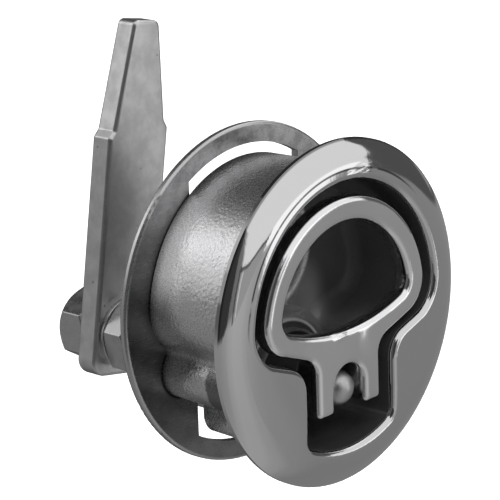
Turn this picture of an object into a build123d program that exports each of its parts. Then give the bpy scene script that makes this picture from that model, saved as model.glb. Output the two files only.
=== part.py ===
"""Flush turning hatch latch: a polished round flange with a lift ring in its keyhole, a cast cup
behind it, a backing ring, and a cam arm clamped on the end of the shaft.

Frame: millimetres, +Z up, the flange faces -Y and the arm stands up behind it. The origin is the
middle of the flange's flat rear seat, the face that lies against the door panel. "Depth" below
is the distance in front of that seat; pieces behind the panel have a negative depth."""
import os
from math import hypot, radians, sqrt, tan

from build123d import *

os.makedirs("parts", exist_ok=True)

# Flange and keyhole
FLANGE_RADIUS = 38.0      # 76 mm rim
FACE_DEPTH = 3.9          # polished face, in front of the seat
RIM_THICKNESS = 0.9       # straight side of the rim
CROWN_START = 24.0        # radius inside which the face is flat
CROWN_FALL = 0.45         # gentle fall of the face from there to the roll
ROLL_START = 32.0         # radius at which the face starts to roll down to the rim
KEYHOLE_RADIUS = 28.9
KEYHOLE_RISE = 0.4        # centre of the keyhole's round head above the flange's centre
KEYHOLE_CORNER = 8.6      # outer corners of the head
SHOULDER_DROP = 14.0      # how far down the two shoulder lines would cross the centre line
SHOULDER_SLOPE = 20.0     # degrees
SLOT_HALF = 13.8
SLOT_FILLET = 6.5         # from shoulder into slot
SLOT_CLEAR = 0.2          # from the thrust washer to the slot's floor
SLOT_CORNER = 3.2
LIP_ROLL = 1.3            # rolled edge round the keyhole

# Cast cup behind the panel
CUP_DEPTH = 25.7
CUP_WALL = 1.9
CUP_DRAFT = 1.2           # degrees, wider towards the flange
FLOOR_THICKNESS = 2.2
POCKET_RADIUS = 13.0      # round finger pocket sunk into the bowl's floor
POCKET_Z = 10.3
POCKET_STEP = 3.5
POCKET_EDGE = 0.8
PLATFORM_DEPTH = 16.4     # round step about the shaft, behind the seat
PLATFORM_RADIUS = 15.1
PLATFORM_CLEAR = 0.2      # between it and the bowl's rounded floor
LOBE_RADIUS = 6.2         # screw lobes on both sides of the slot
LOBE_X = 21.5
LOBE_Z = -12.0
FLUTE_FILLET = 2.5        # inner corners between the lobes and the cup's wall
BOSS_RADIUS = 12.0        # shaft tube behind the cup
BOSS_DEPTH = 45.0

# Lift handle
RING_RADIUS = 25.9
HANDLE_SUNK = 0.5         # its face below the flange's face
RING_DEPTH = 4.6          # thickness of the ring, front to back
EAR_CORNER = 8.0
EAR_DROP = 11.75          # as SHOULDER_DROP, for the handle's own shoulders
FORK_HALF = 10.1
FORK_FILLET = 4.5
FORK_REACH = 4.1          # prong tips past the pin
HOLE_RADIUS = 20.6
HOLE_FLOOR = -3.3         # lowest point of the finger hole's curved floor
HOLE_FLOOR_RADIUS = 50.0
HOLE_CORNER = 3.8
NOTCH_GAP = 0.8           # between prong and knob
WEB_SEAT = 6.0            # web's edge above the pin
HANDLE_EDGE = 1.2
PRONG_TIP = 1.2           # rounded corners of the prongs' ends
HANDLE_BACK_EDGE = 1.6

# Shaft, pin and bearings
SHAFT_Z = -17.0
KNOB_RADIUS = 4.05
PIN_DEPTH = -1.0
PIN_RADIUS = 1.6
PIN_INSET = 0.6           # pin end inside the prong's side
COLLAR_RADIUS = 10.6
COLLAR_THICKNESS = 1.6
THRUST_RADIUS = 12.5
THRUST_THICKNESS = 1.2
JOURNAL_RADIUS = 7.0
TAP_DEPTH = 22.0
BUSH_WALL = 2.0
FRONT_BUSH_LENGTH = 11.0
SEAL_SECTION = 1.3        # radius of the O-ring's cord
SEAL_PITCH = 4.0          # distance between the two seals
SEAL_ROOM = 0.5           # from a seal to the bush beside it
CLIP_THICKNESS = 1.2
CLIP_RADIUS = 9.4
CLIP_GROOVE = 0.8
TAIL_WASHER_THICKNESS = 1.2
TAIL_WASHER_INSET = 1.0   # its rim inside the shaft tube's
WAVE_THICKNESS = 0.6
WAVE_HEIGHT = 1.3

# Backing ring and its screws
BACK_RING_BAND = 4.5      # rim to opening, at the top
BACK_RING_THICKNESS = 2.0
BACK_RING_EDGE = 0.7
OPENING_HALF = 17.4
SCREW_RADIUS = 2.0
SCREW_LENGTH = 10.0
SCREW_HEAD_RADIUS = 3.7
SCREW_HEAD_HEIGHT = 2.4

# Cam arm and its bolt
ARM_DEPTH = 65.8          # front face of the arm
ARM_THICKNESS = 6.0
ARM_LENGTH = 72.7         # shaft to tip
ARM_TAIL = 10.1           # shaft to lower end
ARM_HALF = 9.3
ARM_STEP_AT = 45.5        # shaft to the left shoulder
ARM_STEP_SKEW = 2.4       # the right shoulder stands higher
ARM_STEP_LENGTH = 1.8
ARM_STEP_HALF = 8.0
ARM_TIP_HALF = 3.9
ARM_TIP_CORNER = 1.6
ARM_TAIL_CORNER = 4.0
ARM_EDGE = 0.9
ARM_LEAN = 9.4            # degrees that the arm is clamped round from upright
BOLT_RADIUS = 5.0
HEX_FLATS = 16.0
BOLT_HEAD_HEIGHT = 8.3
NUT_HEIGHT = 7.0
NUT_TURN = 14.0           # degrees that the nut stopped at
ARM_WASHER_RADIUS = 8.3
ARM_WASHER_THICKNESS = 1.2
HEX_CHAMFER = 30.0        # degrees
HEAD_CHAMFER = 48.0       # degrees, round the outer end of the bolt's head
HEX_CROWN = 7.6           # radius at which both chamfers start

# Clearances
RUN_FIT = 0.06            # radial, turning pieces
PUSH_FIT = 0.03           # radial, pressed or screwed pieces
TURN_GAP = 0.3            # end gap between pieces that turn past each other
TAP_BOTTOM_GAP = 2.0      # bolt's end short of the tapped hole's floor

# Derived places
SLOT_BOTTOM_RADIUS = THRUST_RADIUS - SHAFT_Z + SLOT_CLEAR
BACK_RING_RADIUS = FLANGE_RADIUS
OPENING_RADIUS = BACK_RING_RADIUS - BACK_RING_BAND
TAIL_WASHER_RADIUS = BOSS_RADIUS - TAIL_WASHER_INSET
SEAL_STRETCH = SEAL_PITCH + 2 * (SEAL_SECTION + SEAL_ROOM)
REAR_BUSH_LENGTH = BOSS_DEPTH - PLATFORM_DEPTH - FRONT_BUSH_LENGTH - SEAL_STRETCH
HANDLE_FACE = FACE_DEPTH - HANDLE_SUNK
CUP_BACK = -CUP_DEPTH
BOWL_FLOOR = CUP_BACK + FLOOR_THICKNESS
BOWL_LEDGE = BOWL_FLOOR + POCKET_STEP
PLATFORM = -PLATFORM_DEPTH
BOWL_FILLET = PLATFORM - PLATFORM_CLEAR - BOWL_LEDGE
THRUST_FRONT = PLATFORM + THRUST_THICKNESS
COLLAR_FRONT = THRUST_FRONT + COLLAR_THICKNESS
BOSS_BACK = -BOSS_DEPTH
BUSH_RADIUS = JOURNAL_RADIUS + RUN_FIT + BUSH_WALL
TAIL_WASHER_BACK = BOSS_BACK - TAIL_WASHER_THICKNESS
CLIP_FRONT = TAIL_WASHER_BACK - WAVE_HEIGHT
CLIP_BACK = CLIP_FRONT - CLIP_THICKNESS
NOTCH_HALF = KNOB_RADIUS + NOTCH_GAP
ARM_FRONT = -ARM_DEPTH
ARM_BACK = ARM_FRONT - ARM_THICKNESS
NUT_BACK = ARM_FRONT + ARM_WASHER_THICKNESS
NUT_FRONT = NUT_BACK + NUT_HEIGHT
SHAFT_BACK = NUT_FRONT + TURN_GAP
TAP_FLOOR = SHAFT_BACK + TAP_DEPTH
BOLT_TIP = TAP_FLOOR - TAP_BOTTOM_GAP


def facing(depth, x=0.0, z=0.0):
    """Drawing plane seen from the front, at a depth; +X right, +Z up, extruding forwards."""
    return Plane(origin=(x, -depth, z), x_dir=(1, 0, 0), z_dir=(0, -1, 0))


def slab(sketch, back, ahead):
    """A front-view outline made solid from one depth to a nearer one."""
    return extrude(facing(back) * sketch, amount=ahead - back)


def lathe(points, z=SHAFT_Z, x=0.0):
    """Turn a (radius, depth) outline about a line that runs front to back."""
    side = Plane(origin=(x, 0, z), x_dir=(1, 0, 0), z_dir=(0, 0, -1))
    return revolve(side * make_face(Polyline(*points, close=True)), axis=Axis((x, 0, z), (0, 1, 0)))


def tube(inner, outer, back, ahead, z=SHAFT_Z, x=0.0):
    """Plain ring or bush between two depths."""
    return lathe([(inner, back), (outer, back), (outer, ahead), (inner, ahead)], z, x)


def rod(radius, back, ahead, z=SHAFT_Z, x=0.0):
    """Plain round bar between two depths."""
    return lathe([(0, back), (radius, back), (radius, ahead), (0, ahead)], z, x)


def head_outline(radius, rise, drop, corner):
    """Round head with its lower side cut by two sloping shoulders, corners rounded."""
    reach = 2 * radius
    lift = reach * tan(radians(SHOULDER_SLOPE))
    above = make_face(Polyline((0, -drop), (reach, lift - drop), (reach, reach), (-reach, reach),
                               (-reach, lift - drop), close=True))
    head = Pos(0, rise) * Circle(radius) & above
    low = head.vertices().filter_by(lambda v: abs(v.X) > 0.5 * radius)
    return fillet(low, corner)


def round_inner_corners(outline, half, below, radius):
    """Round the two inner corners where a head meets its stem."""
    picks = outline.vertices().filter_by(
        lambda v: abs(abs(v.X) - half) < 0.01 and v.Y > below)
    return fillet(picks, radius)


def keyhole_outline():
    """Opening in the flange: round head, two shoulders and a slot with a curved floor."""
    head = head_outline(KEYHOLE_RADIUS, KEYHOLE_RISE, SHOULDER_DROP, KEYHOLE_CORNER)
    stem = Pos(0, -SLOT_BOTTOM_RADIUS / 2) * Rectangle(2 * SLOT_HALF, SLOT_BOTTOM_RADIUS)
    stem = stem & Circle(SLOT_BOTTOM_RADIUS)
    low = stem.vertices().filter_by(lambda v: v.Y < -0.5 * SLOT_BOTTOM_RADIUS)
    whole = head + fillet(low, SLOT_CORNER)
    return round_inner_corners(whole, SLOT_HALF, SHAFT_Z, SLOT_FILLET)


def cup_outline():
    """The cup's outer form: the keyhole with a wall round it and a screw lobe on each side."""
    wall = offset(keyhole_outline(), amount=CUP_WALL)
    lobes = [Pos(side * LOBE_X, LOBE_Z) * Circle(LOBE_RADIUS) for side in (-1, 1)]
    inner = LOBE_X / 2
    ledges = [Pos(side * (LOBE_X - inner / 2), LOBE_Z) * Rectangle(inner, 2 * LOBE_RADIUS)
              for side in (-1, 1)]
    whole = wall + lobes + ledges
    return fillet(flute_corners(whole), FLUTE_FILLET)


def flute_corners(outline):
    """Inner corners where the lobes and their ledges meet the cup's wall."""
    ledge = LOBE_Z - LOBE_RADIUS
    on_lobe = lambda v: v.Y > LOBE_Z and abs(
        hypot(abs(v.X) - LOBE_X, v.Y - LOBE_Z) - LOBE_RADIUS) < 0.01
    on_ledge = lambda v: abs(v.Y - ledge) < 0.01 and abs(v.X) < LOBE_X - 0.01
    return outline.vertices().filter_by(lambda v: on_lobe(v) or on_ledge(v))


def dome():
    """The polished flange disc, its face falling gently and then rolling down to a thin rim."""
    side = Plane(origin=(0, 0, 0), x_dir=(1, 0, 0), z_dir=(0, 0, -1))
    crown = TangentArc((CROWN_START, FACE_DEPTH), (ROLL_START, FACE_DEPTH - CROWN_FALL), tangent=(1, 0))
    roll = TangentArc(crown @ 1, (FLANGE_RADIUS, RIM_THICKNESS), tangent=crown % 1)
    rest = Polyline(roll @ 1, (FLANGE_RADIUS, 0), (0, 0), (0, FACE_DEPTH), crown @ 0)
    return revolve(side * make_face(crown + roll + rest), axis=Axis.Y)


def bowl():
    """The hollow behind the keyhole: a deep finger bowl and a shallower well at the shaft."""
    deep = slab(keyhole_outline(), BOWL_LEDGE, FACE_DEPTH + 1)
    deep = fillet(rim_edges(deep, -BOWL_LEDGE), BOWL_FILLET)
    step = Pos(0, SHAFT_Z) * Circle(PLATFORM_RADIUS)
    skirt = Pos(0, SHAFT_Z - PLATFORM_RADIUS) * Rectangle(2 * PLATFORM_RADIUS, 2 * PLATFORM_RADIUS)
    return deep - slab(step + skirt, CUP_BACK, PLATFORM)


def flange_body():
    """One casting: polished flange, cup, screw lobes and shaft tube."""
    cup = extrude(facing(CUP_BACK) * cup_outline(), amount=CUP_DEPTH + 0.5, taper=-CUP_DRAFT)
    body = dome() + cup + rod(BOSS_RADIUS, BOSS_BACK, CUP_BACK + 0.5)
    body -= bowl()
    body -= rod(BUSH_RADIUS + PUSH_FIT, BOSS_BACK - 1, PLATFORM + 1)
    for side in (-1, 1):
        body -= rod(SCREW_RADIUS + PUSH_FIT, CUP_BACK - 1, CUP_BACK + SCREW_LENGTH, LOBE_Z, side * LOBE_X)
    body = fillet(lip_edges(body), LIP_ROLL) - rod(POCKET_RADIUS, BOWL_FLOOR, BOWL_LEDGE + 1, POCKET_Z)
    return fillet(pocket_edges(body), POCKET_EDGE)


def pocket_edges(body):
    """Both round edges of the finger pocket."""
    rims = rim_edges(body, -BOWL_LEDGE) + rim_edges(body, -BOWL_FLOOR)
    return [e for e in rims if e.geom_type == GeomType.CIRCLE and abs(e.radius - POCKET_RADIUS) < 0.01]


def lip_edges(body):
    """Edges of the keyhole on the polished face."""
    near = CROWN_FALL - FACE_DEPTH
    return body.edges().filter_by(
        lambda e: e.bounding_box().max.Y < near
        and max(hypot(v.X, v.Z) for v in e.vertices()) < ROLL_START - 0.1)


def finger_hole():
    """D-shaped hole with a gently curved floor."""
    hole = Circle(HOLE_RADIUS) & Pos(0, HOLE_FLOOR + HOLE_FLOOR_RADIUS) * Circle(HOLE_FLOOR_RADIUS)
    return fillet(hole.vertices(), HOLE_CORNER)


def ring_front():
    """Front view of the lift ring alone."""
    return head_outline(RING_RADIUS, 0, EAR_DROP, EAR_CORNER) - finger_hole()


def handle_front():
    """Front view of the whole handle: the ring, its web and two prongs that straddle the knob."""
    tip = SHAFT_Z - FORK_REACH
    stem = Pos(0, tip / 2) * Rectangle(2 * FORK_HALF, -tip)
    head = head_outline(RING_RADIUS, 0, EAR_DROP, EAR_CORNER)
    whole = round_inner_corners(head + stem, FORK_HALF, SHAFT_Z + WEB_SEAT, FORK_FILLET)
    top = SHAFT_Z + WEB_SEAT - NOTCH_HALF
    drop = 2 * (FORK_REACH + WEB_SEAT)
    notch = Pos(0, top) * Circle(NOTCH_HALF) + Pos(0, top - drop / 2) * Rectangle(2 * NOTCH_HALF, drop)
    handle = whole - notch
    return fillet(handle.vertices().filter_by(lambda v: abs(v.Y - tip) < 0.01), PRONG_TIP) - finger_hole()


def fork_side():
    """Side view of the fork, deepening from the ring's back to a round heel at the pin."""
    back = HANDLE_FACE - RING_DEPTH
    heel = Pos(PIN_DEPTH, SHAFT_Z) * Circle(FORK_REACH)
    upper = HOLE_FLOOR - HANDLE_BACK_EDGE
    plate = make_face(Polyline((HANDLE_FACE, SHAFT_Z - FORK_REACH), (HANDLE_FACE, upper), (back, upper),
                               (back, HOLE_FLOOR - WEB_SEAT / 2), (PIN_DEPTH - FORK_REACH, SHAFT_Z),
                               (PIN_DEPTH, SHAFT_Z - FORK_REACH), close=True))
    return plate + heel


def lift_handle():
    """Ring and fork in one casting, face almost flush with the flange."""
    back = HANDLE_FACE - RING_DEPTH
    plate = slab(handle_front(), PIN_DEPTH - FORK_REACH - 1, HANDLE_FACE)
    plate = fillet(rim_edges(plate, -HANDLE_FACE), HANDLE_EDGE)
    ring = slab(ring_front(), back, HANDLE_FACE + 1)
    ring = fillet(rim_edges(ring, -back), HANDLE_BACK_EDGE)
    span = FORK_HALF + FORK_FILLET
    across = Plane(origin=(span, 0, 0), x_dir=(0, -1, 0), z_dir=(-1, 0, 0))
    body = plate & (ring + extrude(across * fork_side(), amount=2 * span))
    return body - cross_rod(PIN_RADIUS + PUSH_FIT, FORK_HALF + 1)


def rim_edges(body, y):
    """Edges that lie wholly in the front-view plane at this y."""
    return body.edges().filter_by(
        lambda e: e.bounding_box().size.Y < 0.01 and abs(e.center().Y - y) < 0.01)


def cross_rod(radius, half):
    """Round bar along the handle's pin."""
    line = Plane(origin=(-half, -PIN_DEPTH, SHAFT_Z), x_dir=(0, 1, 0), z_dir=(1, 0, 0))
    return extrude(line * Circle(radius), amount=2 * half)


def turning_shaft():
    """Knob, collar and journal turned from one bar, tapped at the back for the arm's bolt."""
    groove = seal_line() - SEAL_SECTION
    outline = [(0, SHAFT_BACK), (JOURNAL_RADIUS, SHAFT_BACK)]
    outline += notch_in(CLIP_BACK, CLIP_FRONT, JOURNAL_RADIUS - CLIP_GROOVE)
    for depth in reversed(seal_depths()):
        half = SEAL_SECTION + PUSH_FIT
        outline += notch_in(depth - half, depth + half, groove - PUSH_FIT)
    outline += [(JOURNAL_RADIUS, THRUST_FRONT), (COLLAR_RADIUS, THRUST_FRONT),
                (COLLAR_RADIUS, COLLAR_FRONT), (KNOB_RADIUS, COLLAR_FRONT),
                (KNOB_RADIUS, PIN_DEPTH), (0, PIN_DEPTH)]
    ball = Pos(0, -PIN_DEPTH, SHAFT_Z) * Sphere(KNOB_RADIUS)
    body = lathe(outline) + ball
    body -= rod(BOLT_RADIUS + RUN_FIT, SHAFT_BACK - 1, TAP_FLOOR)
    return body - cross_rod(PIN_RADIUS + RUN_FIT, KNOB_RADIUS + 1)


def notch_in(back, ahead, radius):
    """Outline points of a groove in the journal."""
    return [(JOURNAL_RADIUS, back), (radius, back), (radius, ahead), (JOURNAL_RADIUS, ahead)]


def seal_line():
    """Radius of the seals' cord centre, pressed against the shaft tube's bore."""
    return BUSH_RADIUS - SEAL_SECTION


def seal_depths():
    """Depths of the two seals, centred between the bushes, front one first."""
    middle = ((PLATFORM - FRONT_BUSH_LENGTH) + (BOSS_BACK + REAR_BUSH_LENGTH)) / 2
    return [middle + SEAL_PITCH / 2, middle - SEAL_PITCH / 2]


def seal(depth):
    """O-ring of round section in the journal's groove."""
    side = Plane(origin=(0, 0, SHAFT_Z), x_dir=(1, 0, 0), z_dir=(0, 0, -1))
    section = Pos(seal_line(), depth) * Circle(SEAL_SECTION)
    return revolve(side * section, axis=Axis((0, 0, SHAFT_Z), (0, 1, 0)))


def retaining_clip():
    """Open spring clip in the groove at the back of the shaft."""
    ring = tube(JOURNAL_RADIUS - CLIP_GROOVE + PUSH_FIT, CLIP_RADIUS, CLIP_BACK, CLIP_FRONT)
    mouth = Pos(0, SHAFT_Z - CLIP_RADIUS) * Rectangle(JOURNAL_RADIUS, CLIP_RADIUS)
    return ring - slab(mouth, CLIP_BACK - 1, CLIP_FRONT + 1)


def wave_washer():
    """Dished spring washer that takes up the shaft's end play."""
    inner, outer = JOURNAL_RADIUS + TURN_GAP, CLIP_RADIUS + TURN_GAP
    return lathe([(inner, CLIP_FRONT), (outer, TAIL_WASHER_BACK - WAVE_THICKNESS),
                  (outer, TAIL_WASHER_BACK), (inner, CLIP_FRONT + WAVE_THICKNESS)])


def backing_ring():
    """Flat clamp ring behind the cup, open up the middle so that it passes over the slot's wall."""
    opening = Circle(OPENING_RADIUS) & Rectangle(2 * OPENING_HALF, 3 * OPENING_RADIUS)
    plate = Circle(BACK_RING_RADIUS) - opening
    for side in (-1, 1):
        plate -= Pos(side * LOBE_X, LOBE_Z) * Circle(SCREW_RADIUS + PUSH_FIT)
    body = slab(plate, CUP_BACK - BACK_RING_THICKNESS, CUP_BACK)
    rims = body.edges().filter_by(GeomType.CIRCLE).filter_by(
        lambda e: abs(e.radius - BACK_RING_RADIUS) < 0.01)
    return fillet(rims, BACK_RING_EDGE)


def ring_screw(side):
    """Pan-head screw from behind, through the backing ring into the cup's lobe."""
    seat = CUP_BACK - BACK_RING_THICKNESS
    back = seat - SCREW_HEAD_HEIGHT
    tip = CUP_BACK + SCREW_LENGTH - TURN_GAP
    crown = SCREW_HEAD_RADIUS - SCREW_HEAD_HEIGHT / 2
    return lathe([(0, back), (crown, back), (SCREW_HEAD_RADIUS, seat - SCREW_HEAD_HEIGHT / 2),
                  (SCREW_HEAD_RADIUS, seat), (SCREW_RADIUS, seat), (SCREW_RADIUS, tip),
                  (0, tip)], LOBE_Z, side * LOBE_X)


def clamped(body):
    """Turn a piece drawn upright to where the arm is clamped on the bolt."""
    return body.rotate(Axis((0, 0, SHAFT_Z), (0, 1, 0)), ARM_LEAN)


def arm_edge(side, step):
    """Corners of one long edge of the arm, from its tail to its tip."""
    return [(side * ARM_HALF, -ARM_TAIL), (side * ARM_HALF, step),
            (side * ARM_STEP_HALF, step + ARM_STEP_LENGTH), (side * ARM_TIP_HALF, ARM_LENGTH)]


def cam_arm():
    """Flat arm, tapered above a small shoulder, clamped between the bolt's head and its nut."""
    left = arm_edge(-1, ARM_STEP_AT)
    right = arm_edge(1, ARM_STEP_AT + ARM_STEP_SKEW)
    outline = make_face(Polyline(*right, *reversed(left), close=True))
    tail = outline.vertices().filter_by(lambda v: v.Y < 0)
    outline = fillet(tail, ARM_TAIL_CORNER)
    tip = outline.vertices().filter_by(lambda v: v.Y > ARM_LENGTH - 0.01)
    outline = fillet(tip, ARM_TIP_CORNER)
    steps = outline.vertices().filter_by(lambda v: ARM_TAIL < v.Y < ARM_LENGTH - 2 * ARM_TIP_CORNER)
    outline = fillet(steps, ARM_STEP_LENGTH / 2)
    body = extrude(facing(ARM_BACK, 0, SHAFT_Z) * outline, amount=ARM_THICKNESS)
    flats = body.edges().filter_by(lambda e: e.bounding_box().size.Y < 0.01)
    body = fillet(flats, ARM_EDGE)
    return clamped(body - rod(BOLT_RADIUS + PUSH_FIT, ARM_BACK - 1, ARM_FRONT + 1))


def hex_block(back, ahead, turn=0.0, back_chamfer=HEX_CHAMFER):
    """Hexagon with flats to the sides, both ends chamfered as on a machined nut."""
    corner = HEX_FLATS / sqrt(3)
    fall = (corner - HEX_CROWN) * tan(radians(HEX_CHAMFER))
    back_fall = (corner - HEX_CROWN) * tan(radians(back_chamfer))
    shape = Rot(0, 0, 30 + turn) * RegularPolygon(corner, 6)
    block = extrude(facing(back, 0, SHAFT_Z) * shape, amount=ahead - back)
    return block & lathe([(0, back), (HEX_CROWN, back), (corner, back + back_fall),
                          (corner, ahead - fall), (HEX_CROWN, ahead), (0, ahead)])


def grip_bolt():
    """Hexagon bolt that carries the arm, its shank in the shaft's tapped end."""
    head = hex_block(ARM_BACK - BOLT_HEAD_HEIGHT, ARM_BACK, 0, HEAD_CHAMFER)
    lead = BOLT_RADIUS / 5
    shank = lathe([(0, ARM_BACK - 1), (BOLT_RADIUS, ARM_BACK - 1), (BOLT_RADIUS, BOLT_TIP - lead),
                   (BOLT_RADIUS - lead, BOLT_TIP), (0, BOLT_TIP)])
    return head + shank


def lock_nut():
    """Nut in front of the arm."""
    bore = rod(BOLT_RADIUS + PUSH_FIT, NUT_BACK - 1, NUT_FRONT + 1)
    return hex_block(NUT_BACK, NUT_FRONT, NUT_TURN) - bore


def build():
    """Every piece by name."""
    front_seal, rear_seal = seal_depths()
    bore = JOURNAL_RADIUS + RUN_FIT
    return {
        "flange_body": flange_body(),
        "lift_handle": lift_handle(),
        "handle_pin": cross_rod(PIN_RADIUS, FORK_HALF - PIN_INSET),
        "turning_shaft": turning_shaft(),
        "thrust_washer": tube(bore, THRUST_RADIUS, PLATFORM, THRUST_FRONT),
        "front_bush": tube(bore, BUSH_RADIUS, PLATFORM - FRONT_BUSH_LENGTH, PLATFORM),
        "rear_bush": tube(bore, BUSH_RADIUS, BOSS_BACK, BOSS_BACK + REAR_BUSH_LENGTH),
        "front_seal": seal(front_seal),
        "rear_seal": seal(rear_seal),
        "tail_washer": tube(bore, TAIL_WASHER_RADIUS, TAIL_WASHER_BACK, BOSS_BACK),
        "wave_washer": wave_washer(),
        "retaining_clip": retaining_clip(),
        "backing_ring": backing_ring(),
        "ring_screw_left": ring_screw(-1),
        "ring_screw_right": ring_screw(1),
        "grip_bolt": grip_bolt(),
        "lock_nut": lock_nut(),
        "arm_washer": tube(BOLT_RADIUS + PUSH_FIT, ARM_WASHER_RADIUS, ARM_FRONT, NUT_BACK),
        "cam_arm": cam_arm(),
    }


for name, piece in build().items():
    export_step(piece, "parts/" + name + ".step")
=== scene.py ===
"""Looks of the flush hatch latch: polished flange and lift ring, cast cup, satin ring and arm."""
import math

import bmesh
import bpy
from bpy.props import FloatProperty, FloatVectorProperty, IntProperty, PointerProperty
from mathutils import Matrix, Vector


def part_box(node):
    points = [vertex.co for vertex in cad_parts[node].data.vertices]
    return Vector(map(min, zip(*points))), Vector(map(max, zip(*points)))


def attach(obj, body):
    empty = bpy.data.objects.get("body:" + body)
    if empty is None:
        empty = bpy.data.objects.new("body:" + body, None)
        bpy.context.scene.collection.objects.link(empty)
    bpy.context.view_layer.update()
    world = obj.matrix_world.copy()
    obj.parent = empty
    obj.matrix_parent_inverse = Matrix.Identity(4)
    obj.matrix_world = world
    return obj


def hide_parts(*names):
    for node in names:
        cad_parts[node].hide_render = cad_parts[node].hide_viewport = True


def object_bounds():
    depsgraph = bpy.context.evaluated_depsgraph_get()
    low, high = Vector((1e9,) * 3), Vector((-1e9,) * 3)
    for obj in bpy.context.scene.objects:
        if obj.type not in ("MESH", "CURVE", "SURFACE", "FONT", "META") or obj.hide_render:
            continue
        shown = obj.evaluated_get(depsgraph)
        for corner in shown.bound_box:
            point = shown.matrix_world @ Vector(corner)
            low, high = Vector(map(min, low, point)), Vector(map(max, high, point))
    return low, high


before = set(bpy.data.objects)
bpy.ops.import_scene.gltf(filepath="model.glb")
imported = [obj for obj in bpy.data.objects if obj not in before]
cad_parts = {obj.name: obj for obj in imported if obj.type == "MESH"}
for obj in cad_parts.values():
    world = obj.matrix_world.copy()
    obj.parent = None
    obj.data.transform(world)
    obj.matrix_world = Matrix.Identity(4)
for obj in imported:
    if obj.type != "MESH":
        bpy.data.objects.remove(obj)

bl_info = {
    "name": "Flush hatch latch",
    "version": (1, 0, 0),
    "blender": (4, 5, 0),
    "location": "View3D > Sidebar > Hatch latch",
    "description": "Finishes, screws and studio for a flush turning hatch latch",
    "category": "Object",
}

CAD_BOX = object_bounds()

MM = 0.001
WHITE = (1.0, 1.0, 1.0, 1.0)
RING_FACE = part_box("backing_ring")[0].y
RING_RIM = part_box("backing_ring")[1].x
FLANGE_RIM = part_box("flange_body")[1].x
HANDLE_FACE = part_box("lift_handle")[0].y

# Line half-way through the cup's wall: the CAD's keyhole with half the wall outside it
HALF_WALL = 0.95 * MM
HEAD_RISE = 0.4 * MM
HEAD_RADIUS = 28.9 * MM + HALF_WALL
HEAD_CORNER = 6.6 * MM + HALF_WALL
SHOULDER_SLOPE = math.radians(20.0)
SHOULDER_DROP = 14.0 * MM + HALF_WALL / math.cos(SHOULDER_SLOPE)
SLOT_HALF = 13.8 * MM + HALF_WALL
SLOT_BOTTOM = 29.7 * MM + HALF_WALL
SLOT_CORNER = 3.2 * MM + HALF_WALL
SLOT_FILLET = 6.5 * MM - HALF_WALL
LOBE_RADIUS = 6.2 * MM
LOBE_X = 21.5 * MM
LOBE_Z = -12.0 * MM
LIP_LINE = 0.7 * MM       # from the keyhole's edge
POCKET_RADIUS = 13.0 * MM
POCKET_Z = 10.3 * MM

# Where a finish changes softly: from and to, and the values there unless they are 0 and 1, or for a
# fall 1 and 0. x grows to the right, y backwards from the flange's back and z upwards. A name
# without an axis is for the distance from an edge or from the flange's axis.
FLANGE_BACK_Y = (-0.1 * MM, 0.15 * MM)
# Painted shade along the flange's upper rim
FLANGE_RIM_EDGE = (FLANGE_RIM - 0.5 * MM, FLANGE_RIM - 0.2 * MM)
FLANGE_RIM_Z = (1 * MM, 7 * MM)
# Painted shade in the fine crease where the polished face meets the lip
LIP_LINE_WIDTH = (0.12 * MM, 0.32 * MM)
LIP_LINE_Y = (-2.4 * MM, -2.0 * MM)
LIP_LINE_Z = (0.0, 9 * MM)
LIP_LINE_LEFT = (2 * MM, 14 * MM)
BOWL_WALL = (-0.1 * MM, 0.1 * MM)
BOWL_FRONT_Y = (-2.65 * MM, -2.35 * MM)
BOWL_BACK_Y = (24.4 * MM, 24.6 * MM)
# Painted shade at the bowl's right and at its mouth
BOWL_RIGHT_X = (9 * MM, 17 * MM)
BOWL_MOUTH_Y = (3 * MM, 9 * MM)
# Painted highlight along the finger pocket's edge
POCKET_EDGE = (0.7 * MM, 1.6 * MM)
POCKET_EDGE_Y = (18.8 * MM, 19.4 * MM)
# Painted shade on the screw lobes, standing in for a shaded recess
LOBE_SHADE_X = (18.5 * MM, 22.5 * MM)
LOBE_SHADE_Y = (13.3 * MM, 13.8 * MM)
LOBE_SHADE_Z = (-9.5 * MM, -6.5 * MM)
# Painted light on the cup's outside
CUP_PALE_Y = (RING_FACE - 11 * MM, RING_FACE - 4 * MM)
CUP_PALE_LOW_Z = (2 * MM, 12 * MM, 0.15, 1.0)
CUP_PALE_HIGH_Z = (17 * MM, 29 * MM)
# Painted shade on the cup where it meets the backing ring, and none behind it
CUP_CONTACT_SHADE_Y = (RING_FACE - 2.6 * MM, RING_FACE, 1.0, 0.45)
CUP_BEHIND_RING_Y = (RING_FACE + 0.5 * MM, RING_FACE + 1.5 * MM)
# Painted highlight round the backing ring's rim and painted light near its top
RING_RIM_EDGE = (RING_RIM - 0.9 * MM, RING_RIM - 0.4 * MM)
RING_TOP_LIGHT_Z = (16 * MM, 34 * MM)
# Painted shade on the ring's front along the cup
RING_CONTACT_SHADE = (-0.9 * MM, -0.1 * MM)
RING_FRONT_Y = (RING_FACE + 0.2 * MM, RING_FACE + 0.6 * MM)
HANDLE_SIDE_Y = (HANDLE_FACE + 1.5 * MM, HANDLE_FACE + 2.6 * MM)
# Painted shade on the knob's collar deep in the bowl, and painted highlights round the rims of the
# collar and the thrust washer
COLLAR_Y = (3.5 * MM, 6.0 * MM)
RIM_HIGHLIGHT_SPAN = (-0.8 * MM, -0.3 * MM)
# The same for noise and cells
NOISE_SPAN = (0.3, 0.7)
LIP_LINE_BREAKS = (0.28, 0.46)
POCKET_EDGE_BREAKS = (0.35, 0.5, 0.5, 1.0)
GRAIN_PATCHES = (0.35, 0.65, 0.5, 1.0)
RING_BLOTCHES = (0.36, 0.6, 0.4, 1.0)
ARM_PITS = (0.04, 0.10)
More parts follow.
